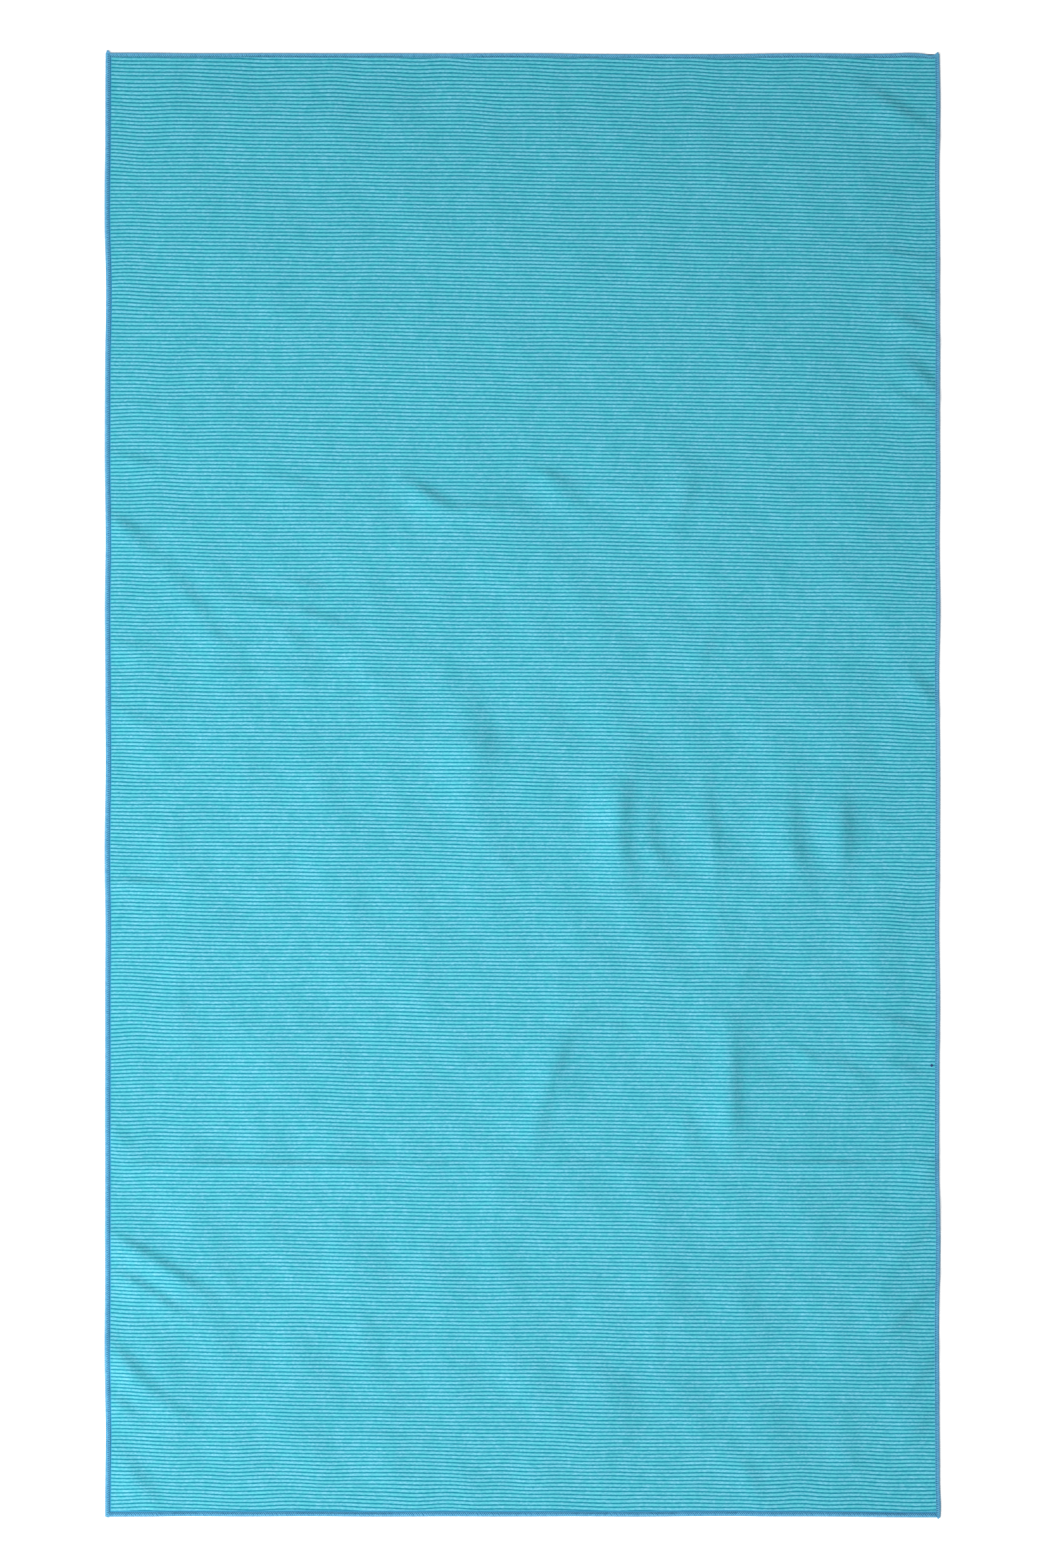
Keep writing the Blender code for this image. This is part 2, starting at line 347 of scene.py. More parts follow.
def crease_height(x, y, crease):
    """One ridge: a bell across its line, which fades out towards both ends."""
    x0, y0, x1, y1, height, half_width = (MM * value for value in crease)
    length = math.hypot(x1 - x0, y1 - y0)
    along = ((x - x0) * (x1 - x0) + (y - y0) * (y1 - y0)) / length
    aside = ((x - x0) * (y1 - y0) - (y - y0) * (x1 - x0)) / length
    beyond = np.maximum(0.0, np.abs(along - length / 2) - length / 2)
    fade = np.sin(math.pi * np.clip(along / length, CREASE_END, 1.0 - CREASE_END))
    side = np.where(aside > 0.0, GENTLE_SIDE_SHARE, STEEP_SIDE_SHARE)
    bell = np.exp(-((aside / side) ** 2 + beyond**2) / half_width**2)
    return CREASE_HEIGHT_SHARE * height * fade * bell


def from_edge(x, y):
    """How far inward of the nearest edge of the flat towel."""
    return np.minimum(HALF_WIDTH - np.abs(x), HALF_LENGTH - np.abs(y))


def rise(x, y):
    """How far the cloth stands off the floor."""
    lift = smooth_step(from_edge(x, y), 0.0, EDGE_LIFT_REACH)
    height = AIR_UNDER_EDGE + (AIR_UNDER_CLOTH - AIR_UNDER_EDGE) * lift
    calm = 1.0 - (1.0 - BILLOW_SHARE_ABOVE) * smooth_step(y, *BILLOW_CALMING)
    free = BILLOW_AT_EDGE + (1.0 - BILLOW_AT_EDGE) * lift
    height += BILLOW_HEIGHT * calm * free * ripple(x, y, BILLOW_SEED, BILLOW_LENGTHS)
    for crease in CREASES:
        height += crease_height(x, y, crease)
    return np.maximum(height, 0.0)


def lay(flat):
    """Points on the flat towel, moved to where they are on the towel as it lies."""
    x, y, z = np.asarray(flat, dtype=float).T
    drift_x = EDGE_DRIFT * ripple(x, y, DRIFT_SEEDS[0], EDGE_DRIFT_LENGTHS) - NARROWING * x
    drift_y = EDGE_DRIFT * ripple(x, y, DRIFT_SEEDS[1], EDGE_DRIFT_LENGTHS)
    for pull in CORNER_PULLS:
        at_x, at_y, pull_x, pull_y, reach = (MM * value for value in pull)
        share = np.exp(-((x - at_x) ** 2 + (y - at_y) ** 2) / reach**2)
        drift_x += share * pull_x
        drift_y += share * pull_y
    return np.column_stack((x + drift_x, y + drift_y, z + rise(x, y)))


# ---------------------------------------------------------------- cloth


RIB_COUNT = round(2 * HALF_LENGTH / RIB_PITCH)
EVEN_PITCH = 2 * HALF_LENGTH / RIB_COUNT
CUT_SEARCH_SHARE = 0.98


def rib_drop(x, y):
    """How far the ribs lie below their even places."""
    across = x / HALF_WIDTH
    up = y / HALF_LENGTH
    slant = RIB_SLANT[0] + RIB_SLANT[1] * up + RIB_SLANT[2] * up**2
    bow = RIB_BOW[0] + RIB_BOW[1] * up
    crowding = RIB_CROWDING * (1.0 - up**2) * (1.0 - CROWDING_TILT * up)
    pull = RIB_WAVE_AT_EDGE * (1.0 - smooth_step(from_edge(x, y), 0.0, SEAM_PULL_REACH))
    wave = (RIB_WAVE_HEIGHT + pull) * ripple(x, y, RIB_WAVE_SEED, RIB_WAVE_LENGTHS)
    return slant * across + bow * across**2 - crowding + wave


def rib_at(x, y):
    """The rib number at a point of the flat towel, counted from the bottom edge."""
    return (y + HALF_LENGTH + rib_drop(x, y)) / EVEN_PITCH


def place_of_rib(rib, x):
    """The Y at which this rib number is reached, at each x."""
    even = rib * EVEN_PITCH - HALF_LENGTH
    y = even
    for _ in range(SETTLING_PASSES):
        y = even - rib_drop(x, y)
    return y


def cloth_columns():
    """X of each column of points: even, with a few closer ones where the cloth is squeezed."""
    seam = HALF_WIDTH - np.array((CLOTH_EDGE_INSET, STITCH_WIDTH / 2, NEEDLE_LINE))
    inner = HALF_WIDTH - NEEDLE_LINE - 2 * SQUEEZE_START
    middle = np.linspace(-inner, inner, CLOTH_COLUMNS)
    return np.concatenate((-seam, middle, seam[::-1]))


def face_grid():
    """Points of the flat cloth's face, in rows that follow the ribs and reach past both ends."""
    columns = cloth_columns()
    first, last = -RIBS_BEYOND_EDGE, RIB_COUNT + RIBS_BEYOND_EDGE
    rows = [(rib + within, share) for rib in range(first, last) for within, share in RIB_ROWS]
    ribs, shares = (column[:, None] for column in np.array(rows).T)
    x = np.broadcast_to(columns, (len(rows), len(columns)))
    z = CLOTH_TOP - shares * FURROW_DEPTH + 0 * x
    return np.stack((x, place_of_rib(ribs, x), z), axis=-1)


def add_grid(body, grid, facing_up):
    """Faces between the rows of a grid of points. Returns the body's own points."""
    points = [[body.verts.new(point) for point in row] for row in grid]
    for low, high in zip(points, points[1:]):
        for corners in zip(low, low[1:], high[1:], high):
            body.faces.new(corners if facing_up else corners[::-1])
    return points


def cloth_body():
    """The flat cloth as one closed body, ribbed above, flat below and cut off straight."""
    face = face_grid()
    step = len(RIB_ROWS)
    under = face[::step].copy()
    under[..., 2] = 0.0

    body = bmesh.new()
    face_points = add_grid(body, face, facing_up=True)
    under_points = add_grid(body, under, facing_up=False)
    for rib in range(len(under_points) - 1):
        rim = range(rib * step, rib * step + step + 1)
        left = [face_points[row][0] for row in reversed(rim)]
        right = [face_points[row][-1] for row in rim]
        body.faces.new([*left, under_points[rib][0], under_points[rib + 1][0]])
        body.faces.new([*right, under_points[rib + 1][-1], under_points[rib][-1]])

    # a cut where the painted shadow inside the bottom seam ends
    cut_across(body, NEEDLE_LINE + SEAM_SHADOW_WIDTH - HALF_LENGTH)
    for end in (-1, 1):
        cut_across(body, end * (HALF_LENGTH - NEEDLE_LINE))
        cut_across(body, end * (HALF_LENGTH - STITCH_WIDTH / 2))
        rim = cut_across(body, end * (HALF_LENGTH - CLOTH_EDGE_INSET), clear=True)
        bmesh.ops.holes_fill(body, edges=rim, sides=0)
    return body


def cut_across(body, y, clear=False):
    """New edges straight across the cloth at this Y. Clearing removes what lies beyond it. Only
    faces that lie near or beyond the cut are searched."""
    end = math.copysign(1.0, y)
    reach = CUT_SEARCH_SHARE * abs(y)
    near = [face for face in body.faces if end * face.calc_center_median().y > reach]
    around = dict.fromkeys(part for face in near for part in (*face.verts, *face.edges))
    made = bmesh.ops.bisect_plane(
        body, geom=[*around, *near], plane_co=(0, y, 0), plane_no=(0, end, 0), clear_outer=clear
    )
    return [part for part in made["geom_cut"] if isinstance(part, bmesh.types.BMEdge)]


def squeeze(points):
    """Thins the cloth towards its middle where the stitches hold it."""
    x, y, z = points.T
    inward = from_edge(x, y)
    swelling = smooth_step(inward, NEEDLE_LINE - SQUEEZE_START, NEEDLE_LINE + 2 * SQUEEZE_START)
    share = SQUEEZED_SHARE + (1.0 - SQUEEZED_SHARE) * swelling
    middle = SEAM_TOP / 2 + (CLOTH_TOP - SEAM_TOP) / 2 * swelling
    return np.column_stack((x, y, middle + (z - CLOTH_TOP / 2) * share))


def set_tile_map(mesh, uv):
    """uv is one pair for each face corner."""
    layer = mesh.uv_layers.new(name=TILE_MAP)
    layer.uv.foreach_set("vector", np.asarray(uv, dtype=np.float32).ravel())


def values_of(parts, attribute, size, kind=float):
    """One row of numbers for each vertex, corner or face of a mesh."""
    values = np.empty(size * len(parts), dtype=kind)
    parts.foreach_get(attribute, values)
    return values.reshape(-1, size)


def gets_painted_seam_shade(x, y):
    """Whether the flat cloth gets the painted shade here: the painted shadow band inside the left and
    bottom seams, or under stitches whose shade is painted on the cloth between them.
    """
    shadow_band_reach = NEEDLE_LINE + SEAM_SHADOW_WIDTH
    # painted shadow band inside the left and bottom seams, the sides that the light leaves in shade
    shadow_band = (x < shadow_band_reach - HALF_WIDTH) | (y < shadow_band_reach - HALF_LENGTH)
    # under the stitches the shade in the gaps between them is painted on the cloth
    covered = np.where(y > HALF_LENGTH - NEEDLE_LINE, STITCH_WIDTH / 2, NEEDLE_LINE)
    return shadow_band | (from_edge(x, y) < covered)


def make_cloth():
    body = cloth_body()
    mesh = bpy.data.meshes.new("ribbed_cloth")
    body.to_mesh(mesh)
    body.free()
    flat = values_of(mesh.vertices, "co", 3)
    corners = values_of(mesh.loops, "vertex_index", 1, int)[:, 0]
    x, y, _ = flat.T
    pattern = np.column_stack((x / TILE_WIDTH, rib_at(x, y) / TILE_RIBS))
    set_tile_map(mesh, pattern[corners])
    mesh.materials.append(cloth_material())
    # the second slot holds the painted seam shade and the painted shadow inside the left and bottom
    # seams
    mesh.materials.append(seam_shade_cloth_material())
    centre_x, centre_y, _ = values_of(mesh.polygons, "center", 3).T
    mesh.polygons.foreach_set("material_index", gets_painted_seam_shade(centre_x, centre_y).astype(int))
    mesh.vertices.foreach_set("co", lay(squeeze(flat)).ravel())
    mesh.shade_smooth()
    mesh.update()
    return add_object("ribbed_cloth", mesh)


def add_object(name, mesh, material=None):
    if material:
        mesh.materials.append(material)
    obj = bpy.data.objects.new(name, mesh)
    bpy.context.scene.collection.objects.link(obj)
    return obj


# ---------------------------------------------------------------- threads


def unit(vectors):
    return vectors / np.linalg.norm(vectors, axis=1, keepdims=True)


def thread_faces(rings, sides):
    """The faces between the rings of points along a thread, and one to close each of its ends."""
    start = np.arange(rings - 1)[:, None] * sides
    this = np.arange(sides)[None, :]
    after = (this + 1) % sides
    quads = np.stack((start + this, start + after, start + sides + after, start + sides + this), -1)
    last = (rings - 1) * sides
    caps = [list(range(sides - 1, -1, -1)), list(range(last, last + sides))]
    return quads.reshape(-1, 4).tolist() + caps


def thread_uv(path, sides):
    """The tile map of those faces: around the thread, and how far along it. The ends are plain."""
    travelled = np.concatenate(([0.0], np.cumsum(np.linalg.norm(np.diff(path, axis=0), axis=1))))
    shape = (len(path) - 1, sides)
    u0 = np.broadcast_to(np.arange(sides) / sides, shape)
    u1 = u0 + 1.0 / sides
    v0 = np.broadcast_to(travelled[:-1, None] / TILE_WIDTH, shape)
    v1 = np.broadcast_to(travelled[1:, None] / TILE_WIDTH, shape)
    corners = [np.stack(pair, axis=-1) for pair in ((u0, v0), (u1, v0), (u1, v1), (u0, v1))]
    return np.concatenate((np.stack(corners, axis=2).reshape(-1, 2), np.zeros((2 * sides, 2))))


def thread_mesh(name, path, normals, half_width, half_height, sides):
    """A closed thread of oval section along a path on a surface with these normals. half_width
    is one number or one for each point."""
    half_width = np.broadcast_to(half_width, len(path))[:, None, None]
    tangents = unit(np.gradient(path, axis=0))
    across = unit(np.cross(tangents, normals))
    lift = np.cross(across, tangents)
    turns = FULL_TURN * np.arange(sides) / sides
    ring = (
        across[:, None] * half_width * np.cos(turns)[None, :, None]
        + lift[:, None] * half_height * np.sin(turns)[None, :, None]
    )
    points = (path[:, None] + ring).reshape(-1, 3)
    mesh = bpy.data.meshes.new(name)
    mesh.from_pydata(points, [], thread_faces(len(path), sides))
    set_tile_map(mesh, thread_uv(path, sides))
    mesh.shade_smooth()
    return mesh


class Side(NamedTuple):
    corner: tuple  # where distances along it start
    way: tuple
    inside: tuple
    start: float  # of the seam, along the side
    end: float
    stitch: float
    half_stitch: tuple
    lean: float  # how far the stitches' inner ends lean along it, in long stitches
    seed: int


# The first half of one stitch of the upper looper: share of the stitch length, and how far it is
# from the needle line (0) towards the middle of the edge (1). The other half mirrors it. The yarn
# leaves the needle line steeply, so that the way back of one stitch and the way out of the next
# run side by side there, and then spreads along the edge to cover it.
HALF_LONG_STITCH = (
    (0.00, 0.00), (0.05, 0.12), (0.10, 0.26), (0.16, 0.42), (0.24, 0.60), (0.33, 0.78), (0.42, 0.93),
)
HALF_SHORT_STITCH = (
    (0.00, 0.00), (0.03, 0.16), (0.06, 0.32), (0.11, 0.48), (0.19, 0.64), (0.29, 0.80), (0.40, 0.94),
)
LONG_SEAM = (0.0, 2 * HALF_LENGTH, LONG_STITCH, HALF_LONG_STITCH)
SHORT_SEAM_START = 0.8 * STITCH_WIDTH  # the short seams' ends slip in beside the long seams
SHORT_SEAM_END = 2 * HALF_WIDTH - SHORT_SEAM_START
SHORT_SEAM = (SHORT_SEAM_START, SHORT_SEAM_END, SHORT_STITCH, HALF_SHORT_STITCH)
SIDES = {
    "left": Side((-HALF_WIDTH, -HALF_LENGTH), (0, 1), (1, 0), *LONG_SEAM, -0.6, 1),
    "right": Side((HALF_WIDTH, -HALF_LENGTH), (0, 1), (-1, 0), *LONG_SEAM, 0.2, 2),
    "top": Side((-HALF_WIDTH, HALF_LENGTH), (1, 0), (0, -1), *SHORT_SEAM, 1.7, 3),
    "bottom": Side((-HALF_WIDTH, -HALF_LENGTH), (1, 0), (0, 1), *SHORT_SEAM, -1.7, 0),
}


def on_side(side, along, inward, z):
    """Flat towel points from the distances along a side and inward from its edge."""
    ground = np.array(side.corner) + along[:, None] * side.way + inward[:, None] * side.inside
    return np.column_stack((ground, z))


def side_normals(side, inward_part, z_part):
    return np.column_stack((inward_part[:, None] * side.inside, z_part))


def stitch_places(side, shares):
    """For each point of the run: its stitch number with fraction, and the distance along. The
    shares say where in each stitch there are points."""
    length = side.end - side.start - 2 * YARN_HALF_WIDTH
    count = round(length / side.stitch)
    turns = np.append((np.arange(count)[:, None] + np.array(shares)).ravel(), count)
    return turns, side.start + YARN_HALF_WIDTH + turns * (length / count)


def uneven(turns, seed):
    """A small seeded error for each stitch, carried smoothly from one to the next."""
    random = np.random.default_rng(seed)
    errors = random.normal(0.0, HAND_OF_STITCH, int(turns[-1]) + 2)
    return np.interp(turns, np.arange(len(errors)), errors)


def looper_route(reach):
    """Across the seam from the needle line (0) round to the middle of the edge (1): the distance
    inward, the height above mid thickness and the surface normal there."""
    wide = EDGE_ROUNDING - YARN_HALF_HEIGHT
    high = SEAM_TOP / 2 - YARN_HALF_HEIGHT
    arc = math.pi / 2 * math.sqrt((wide**2 + high**2) / 2)
    straight = NEEDLE_LINE - EDGE_ROUNDING
    travelled = reach * (straight + arc)
    angle = math.pi / 2 * np.clip((travelled - straight) / arc, 0.0, 1.0)
    inward = np.where(travelled < straight, NEEDLE_LINE - travelled, EDGE_ROUNDING)
    inward = inward - wide * np.sin(angle)
    steepness = np.hypot(np.sin(angle) * high, np.cos(angle) * wide)
    normal_in, normal_up = -np.sin(angle) * high / steepness, np.cos(angle) * wide / steepness
    return inward, high * np.cos(angle), normal_in, normal_up


def upper_stitches(side):
    """The places of the upper looper's points, and how far each is from the needle line."""
    back = [(1.0 - share, reach) for share, reach in side.half_stitch[:0:-1]]
    shares, reaches = np.array([*side.half_stitch, (0.5, 1.0), *back]).T
    turns, along = stitch_places(side, shares)
    return turns, along, np.append(np.tile(reaches, int(turns[-1])), 0.0)


def lower_stitches(side):
    """The same for the lower looper, which lies in even waves."""
    turns, along = stitch_places(side, np.arange(LOWER_POINTS) / LOWER_POINTS)
    return turns, along, 0.5 + 0.5 * np.cos(FULL_TURN * turns)


def make_looper(side, name, underside, material):
    turns, along, reach = lower_stitches(side) if underside else upper_stitches(side)
    inward, height, normal_in, normal_up = looper_route(reach)
    seed = side.seed + (LOWER_LOOPER_SEED if underside else 0)
    lean = side.lean * LONG_STITCH * (1.0 - reach) ** LEAN_CURVE
    along = along + lean + uneven(turns, STITCH_PLACE_SEED + seed)
    along = np.clip(along, side.start, side.end)
    inward = inward + np.abs(uneven(turns, STITCH_REACH_SEED + seed)) * (1.0 - reach)
    up = -1.0 if underside else 1.0
    path = lay(on_side(side, along, inward, SEAM_TOP / 2 + up * height))
    normals = side_normals(side, normal_in, up * normal_up)
    drawn_in = DRAWN_IN_SHARE * smooth_step(reach, *YARN_DRAWS_IN)
    spread = smooth_step(reach, *YARN_SPREADS) * (1.0 - drawn_in)
    half_width = YARN_PULLED_HALF_WIDTH + (YARN_HALF_WIDTH - YARN_PULLED_HALF_WIDTH) * spread
    sides = LOWER_SIDES if underside else UPPER_SIDES
    mesh = thread_mesh(name, path, normals, half_width, YARN_HALF_HEIGHT, sides)
    return add_object(name, mesh, material)


def upright(path):
    """A normal straight up for each point of a path."""
    return np.tile((0.0, 0.0, 1.0), (len(path), 1))


def make_needle_run(side, name, material):
    """Straight stitches along the needle line, each dipping into the cloth at its two ends."""
    turns, along = stitch_places(side, np.arange(NEEDLE_POINTS) / NEEDLE_POINTS)
    dip = NEEDLE_DIP * np.abs(np.cos(math.pi * turns)) ** NEEDLE_DIP_SHARPNESS
    height = SEAM_TOP - NEEDLE_YARN_RADIUS + NEEDLE_STANDS_PROUD - dip
    inward = NEEDLE_LINE + uneven(turns, NEEDLE_SEED + side.seed) / 2
    path = lay(on_side(side, along, inward, height))
    normals = upright(path)
    mesh = thread_mesh(name, path, normals, NEEDLE_YARN_RADIUS, NEEDLE_YARN_RADIUS, NEEDLE_SIDES)
    return add_object(name, mesh, material)


def zigzag(low, high, half_width_at, height_at, passes, points_per_pass):
    """A thread laid to and fro between two Ys, about X = 0. Its width and height are functions of
    the share of the way between them."""
    turns = np.arange(passes * points_per_pass + 1) / points_per_pass
    share = turns / passes
    x = half_width_at(share) * np.cos(math.pi * turns)
    y = low + (high - low) * share
    return np.column_stack((x, y, height_at(share)))


def make_tail(node, name, flare, material):
    """A chained-off end: the seam's threads looped to and fro, narrowing to a point. Its foot
    spreads by the flare towards the middle of the towel."""
    low, high = (np.array(corner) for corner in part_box(node))
    outward = 1.0 if high[1] > 0 else -1.0
    tip = (high[1] if outward > 0 else -low[1]) - YARN_HALF_WIDTH
    root = HALF_LENGTH - TAIL_ROOT_INSET
    centre = (low[0] + high[0]) / 2
    half_base = (high[0] - low[0]) / 2 - YARN_HALF_WIDTH
    inside = -math.copysign(1.0, centre)

    def half_width(share):
        return (half_base + flare / 2) * (1.0 - share) ** TAIL_TAPER + TAIL_TIP_HALF_WIDTH

    def height(share):
        return SEAM_TOP / 2 + TAIL_ARCH * np.sin(math.pi * share)

    path = zigzag(root, tip, half_width, height, TAIL_PASSES, TAIL_POINTS)
    drawn_in = 1.0 - (path[:, 1] - root) / (tip - root)
    x = centre + path[:, 0] + inside * flare / 2 * drawn_in
    path = lay(np.column_stack((x, outward * path[:, 1], path[:, 2])))
    mesh = thread_mesh(name, path, upright(path), YARN_HALF_WIDTH, YARN_HALF_HEIGHT, TAIL_SIDES)
    return add_object(name, mesh, material)


def make_tack(node, name, material):
    """The small dark knot: a diamond filled with short passes of fine thread."""
    low, high = (np.array(corner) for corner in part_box(node))
    centre = (low + high) / 2
    half = (high - low) / 2

    def half_width(share):
        narrowing = 1.0 - np.abs(2 * share - 1)
        return half[0] * narrowing * TACK_WIDTH_SHARE + TACK_TIP_HALF_WIDTH

    def height(share):
        return CLOTH_TOP + TACK_FOOT + TACK_ARCH * np.sin(math.pi * share)

    reach = TACK_LENGTH_SHARE * half[1]
    path = zigzag(-reach, reach, half_width, height, TACK_PASSES, TACK_POINTS)
    path[:, :2] += centre[:2]
    path = lay(path)
    thickness = (TACK_YARN_HALF_WIDTH, TACK_YARN_HALF_HEIGHT)
    mesh = thread_mesh(name, path, upright(path), *thickness, TACK_SIDES)
    return add_object(name, mesh, material)


# ---------------------------------------------------------------- materials

SOCKETS = {
    "colour": "Base Color",
    "roughness": "Roughness",
    "gloss": "Specular IOR Level",
    "sheen": "Sheen Weight",
    "sheen_roughness": "Sheen Roughness",
    "glow_colour": "Emission Color",
    "glow": "Emission Strength",
}
MIX_COLOURS = (6, 7)  # the places of the colours among a mix node's inputs
MIX_RESULT = 2

MATT_GLOSS = 0.1
RIB_CROWN = (0.04, 0.32)  # from a furrow's middle, in ribs: where the crown begins and is full
RIB_GLOSS = 0.13
CLOTH_SHEEN = 0.08
CLOTH_SHEEN_ROUGHNESS = 0.6
YARN_SHEEN = 0.1
YARN_SHEEN_ROUGHNESS = 0.4
RIB_ROUGHNESS = (0.66, 0.82)
PRESSED_ROUGHNESS = (0.85, 1.0)
YARN_ROUGHNESS = (0.55, 0.85)
PAPER_ROUGHNESS = 0.9

# Noises: the size of their specks, and for each axis a share under 1 where they are drawn out
EVEN = (1.0, 1.0, 1.0)
FUZZ = (1.6 * MM, (0.5, 1.0, 1.0))
FIBRES = (0.5 * MM, (0.22, 1.0, 1.0))
PATCHES = (5.0 * MM, (0.6, 1.0, 1.0))
MOTTLE = (16 * MM, (1.0, 0.35, 1.0))
PRESSED_FIBRES = (0.35 * MM, EVEN)
FILAMENTS = (0.15 * MM, EVEN)
YARN_PATCHES = (3.0 * MM, EVEN)
PAPER_GRAIN = (2.0 * MM, EVEN)
NOISE_DETAIL = 3.0

# Where in a noise's range something starts to show and is full
NEARLY_ALL = (0.2, 0.8)
FIBRE_RANGE = (0.36, 0.62)
PATCH_RANGE = (0.35, 0.65)
MOTTLE_RANGE = (0.3, 0.7)
MOTTLE_DEPTH = 0.09
FURROW_WANDER = 0.22  # how far the fuzz moves the furrows' sides, in ribs
YARN_RANGE = (0.7, 1.6)
STRAND_SHARE = 1.2  # of the strands beside the filaments, in the yarn's light and shade
TWIST_SLANT = 2.0

BUMP_STRENGTH = 0.5
CLOTH_BUMP = 0.12 * MM
FUZZ_BUMP_SHARE = 0.8
THREAD_BUMP = 0.05 * MM


def start_material(name, **values):
    """A new material with its shader, and the values that are the same all over."""
    material = bpy.data.materials.new(name)
    material.use_nodes = True
    tree = material.node_tree
    shader = tree.nodes["Principled BSDF"]
    for key, value in values.items():
        shader.inputs[SOCKETS[key]].default_value = value
    return material, tree, shader


def object_place(tree):
    return tree.nodes.new("ShaderNodeTexCoord").outputs["Object"]


def tile_place(tree):
    """How far across and along the tile map, as two sockets."""
    tile = tree.nodes.new("ShaderNodeUVMap")
    tile.uv_map = TILE_MAP
    parts = tree.nodes.new("ShaderNodeSeparateXYZ")
    tree.links.new(tile.outputs["UV"], parts.inputs["Vector"])
    return parts.outputs["X"], parts.outputs["Y"]


def math_node(tree, operation, first, second=0.0):
    node = tree.nodes.new("ShaderNodeMath")
    node.operation = operation
    for socket, value in zip(node.inputs, (first, second)):
        if isinstance(value, bpy.types.NodeSocket):
            tree.links.new(value, socket)
        else:
            socket.default_value = value
    return node.outputs[0]


def mix_colour(tree, factor, first, second):
    node = tree.nodes.new("ShaderNodeMix")
    node.data_type = "RGBA"
    tree.links.new(factor, node.inputs["Factor"])
    for place, value in zip(MIX_COLOURS, (first, second)):
        if isinstance(value, bpy.types.NodeSocket):
            tree.links.new(value, node.inputs[place])
        else:
            node.inputs[place].default_value = (*value, 1.0)
    return node.outputs[MIX_RESULT]


def remap(tree, value, start, end, low=0.0, high=1.0):
    """From low to high, smoothly, as the value goes from start to end."""
    node = tree.nodes.new("ShaderNodeMapRange")
    node.interpolation_type = "SMOOTHSTEP"
    tree.links.new(value, node.inputs["Value"])
    for key, number in (("From Min", start), ("From Max", end), ("To Min", low), ("To Max", high)):
        node.inputs[key].default_value = number
    return node.outputs["Result"]


def noise(tree, vector, size, shares):
    mapping = tree.nodes.new("ShaderNodeMapping")
    mapping.inputs["Scale"].default_value = tuple(1 / size * share for share in shares)
    tree.links.new(vector, mapping.inputs["Vector"])
    node = tree.nodes.new("ShaderNodeTexNoise")
    node.inputs["Scale"].default_value = 1.0
    node.inputs["Detail"].default_value = NOISE_DETAIL
    tree.links.new(mapping.outputs["Vector"], node.inputs["Vector"])
    return node.outputs["Fac"]


def add_bump(tree, shader, height, distance):
    bump = tree.nodes.new("ShaderNodeBump")
    bump.inputs["Strength"].default_value = BUMP_STRENGTH
    bump.inputs["Distance"].default_value = distance
    tree.links.new(height, bump.inputs["Height"])
    tree.links.new(bump.outputs["Normal"], shader.inputs["Normal"])


def cloth_material():
    """Brushed microfibre: pale ribs, dark furrows, fine lines along the ribs and loose fibres."""
    material, tree, shader = start_material(
        "ribbed_microfibre", sheen=CLOTH_SHEEN, sheen_roughness=CLOTH_SHEEN_ROUGHNESS
    )
    place = object_place(tree)
    _, along = tile_place(tree)
    rib = math_node(tree, "MULTIPLY", along, TILE_RIBS)
    fraction = math_node(tree, "FRACT", rib)
    from_furrow = math_node(tree, "MINIMUM", fraction, math_node(tree, "SUBTRACT", 1.0, fraction))

    fuzz = noise(tree, place, *FUZZ)
    fibres = noise(tree, place, *FIBRES)
    patches = remap(tree, noise(tree, place, *PATCHES), *PATCH_RANGE)
    mottle = remap(tree, noise(tree, place, *MOTTLE), *MOTTLE_RANGE, 0.0, MOTTLE_DEPTH)
    wander = math_node(tree, "MULTIPLY", math_node(tree, "SUBTRACT", fuzz, 0.5), FURROW_WANDER)
    edge = math_node(tree, "ADD", from_furrow, wander)
    crown = remap(tree, edge, *RIB_CROWN)
    loose = mix_colour(tree, patches, FIBRE_COLOUR, GREEN_FIBRE_COLOUR)
    lit = mix_colour(tree, remap(tree, fibres, *FIBRE_RANGE), RIB_COLOUR, loose)
    striped = mix_colour(tree, crown, FURROW_COLOUR, lit)
    shade = mix_colour(tree, mottle, striped, FURROW_COLOUR)
    tree.links.new(shade, shader.inputs["Base Color"])
    roughness = remap(tree, fuzz, *NEARLY_ALL, *RIB_ROUGHNESS)
    tree.links.new(roughness, shader.inputs["Roughness"])
    gloss = remap(tree, edge, *RIB_CROWN, 0.0, RIB_GLOSS)
    tree.links.new(gloss, shader.inputs["Specular IOR Level"])
    relief = math_node(tree, "ADD", fibres, math_node(tree, "MULTIPLY", fuzz, FUZZ_BUMP_SHARE))
    add_bump(tree, shader, relief, CLOTH_BUMP)
    return material


def seam_shade_cloth_material():
    """The same cloth where it is squeezed under the stitches, coloured dark blue as painted shade: the
    shade in the gaps between the stitches, where it is only glimpsed, and the painted shadow inside
    the left and bottom seams.
    """
    material, tree, shader = start_material(
        "microfibre_painted_seam_shade", colour=(*SEAM_SHADE_COLOUR, 1.0), gloss=MATT_GLOSS
    )
    fibres = noise(tree, object_place(tree), *PRESSED_FIBRES)
    roughness = remap(tree, fibres, *NEARLY_ALL, *PRESSED_ROUGHNESS)
    tree.links.new(roughness, shader.inputs["Roughness"])
    add_bump(tree, shader, fibres, CLOTH_BUMP)
    return material


